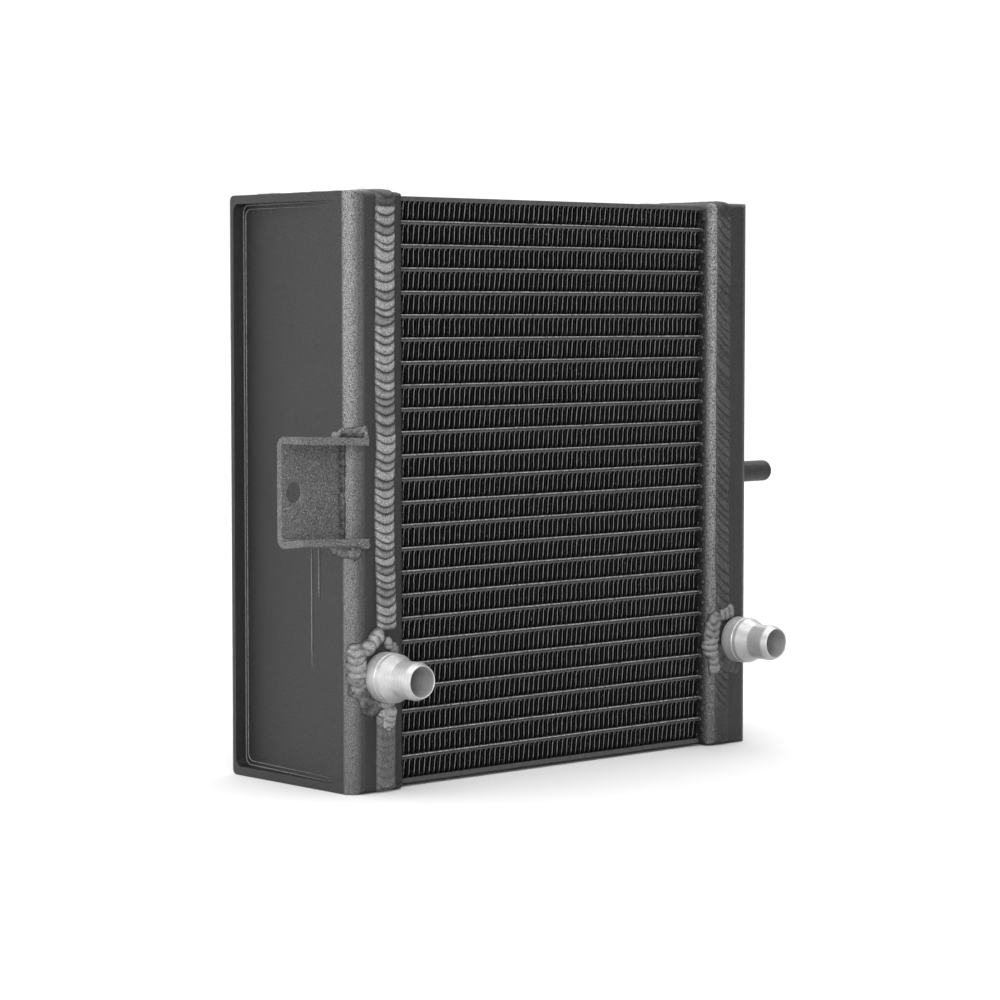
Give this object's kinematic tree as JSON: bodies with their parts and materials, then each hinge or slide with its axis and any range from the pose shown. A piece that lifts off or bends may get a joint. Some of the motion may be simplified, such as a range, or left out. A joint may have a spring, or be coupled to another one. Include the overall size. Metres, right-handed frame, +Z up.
{
  "type": "hydraulic oil cooler",
  "caption": "Tube-and-fin aluminium oil cooler with a brazed core between two welded end tanks, hose spigots on the front, a folded side bracket and a locating pin.",
  "frame": {"origin": "middle of the bounding box in plan, on the surface the cooler stands on", "axes": "+X from the bracket side to the pin side, across the width; -Y is the face the hose spigots point out of; +Z up"},
  "size_m": [0.302, 0.1112, 0.2554],
  "materials": {
    "tank_coat": "satin black powder coat over cast aluminium",
    "header_coat": "satin black powder coat over pressed aluminium plate",
    "bracket_coat": "coarse satin black powder coat over aluminium",
    "core_coat": "satin black coat on brazed aluminium tube",
    "fin_coat": "thin satin black coat on folded aluminium foil",
    "bare_aluminium": "bare turned aluminium"
  },
  "bodies": {
    "root": {"left_tank": "tank_coat", "left_header": "header_coat", "left_spigot": "bare_aluminium", "right_tank": "tank_coat", "right_header": "header_coat", "right_spigot": "bare_aluminium", "bottom_side_plate": "core_coat", "top_side_plate": "core_coat", "tube_01": "core_coat", "tube_02": "core_coat", "tube_03": "core_coat", "tube_04": "core_coat", "tube_05": "core_coat", "tube_06": "core_coat", "tube_07": "core_coat", "tube_08": "core_coat", "tube_09": "core_coat", "tube_10": "core_coat", "tube_11": "core_coat", "tube_12": "core_coat", "tube_13": "core_coat", "tube_14": "core_coat", "tube_15": "core_coat", "tube_16": "core_coat", "tube_17": "core_coat", "tube_18": "core_coat", "tube_19": "core_coat", "tube_20": "core_coat", "tube_21": "core_coat", "tube_22": "core_coat", "tube_23": "core_coat", "tube_24": "core_coat", "fin_01": "fin_coat", "fin_02": "fin_coat", "fin_03": "fin_coat", "fin_04": "fin_coat", "fin_05": "fin_coat", "fin_06": "fin_coat", "fin_07": "fin_coat", "fin_08": "fin_coat", "fin_09": "fin_coat", "fin_10": "fin_coat", "fin_11": "fin_coat", "fin_12": "fin_coat", "fin_13": "fin_coat", "fin_14": "fin_coat", "fin_15": "fin_coat", "fin_16": "fin_coat", "fin_17": "fin_coat", "fin_18": "fin_coat", "fin_19": "fin_coat", "fin_20": "fin_coat", "fin_21": "fin_coat", "fin_22": "fin_coat", "fin_23": "fin_coat", "fin_24": "fin_coat", "fin_25": "fin_coat", "mounting_bracket": "bracket_coat", "locating_pin": "bracket_coat"}
  },
  "joints": []
}
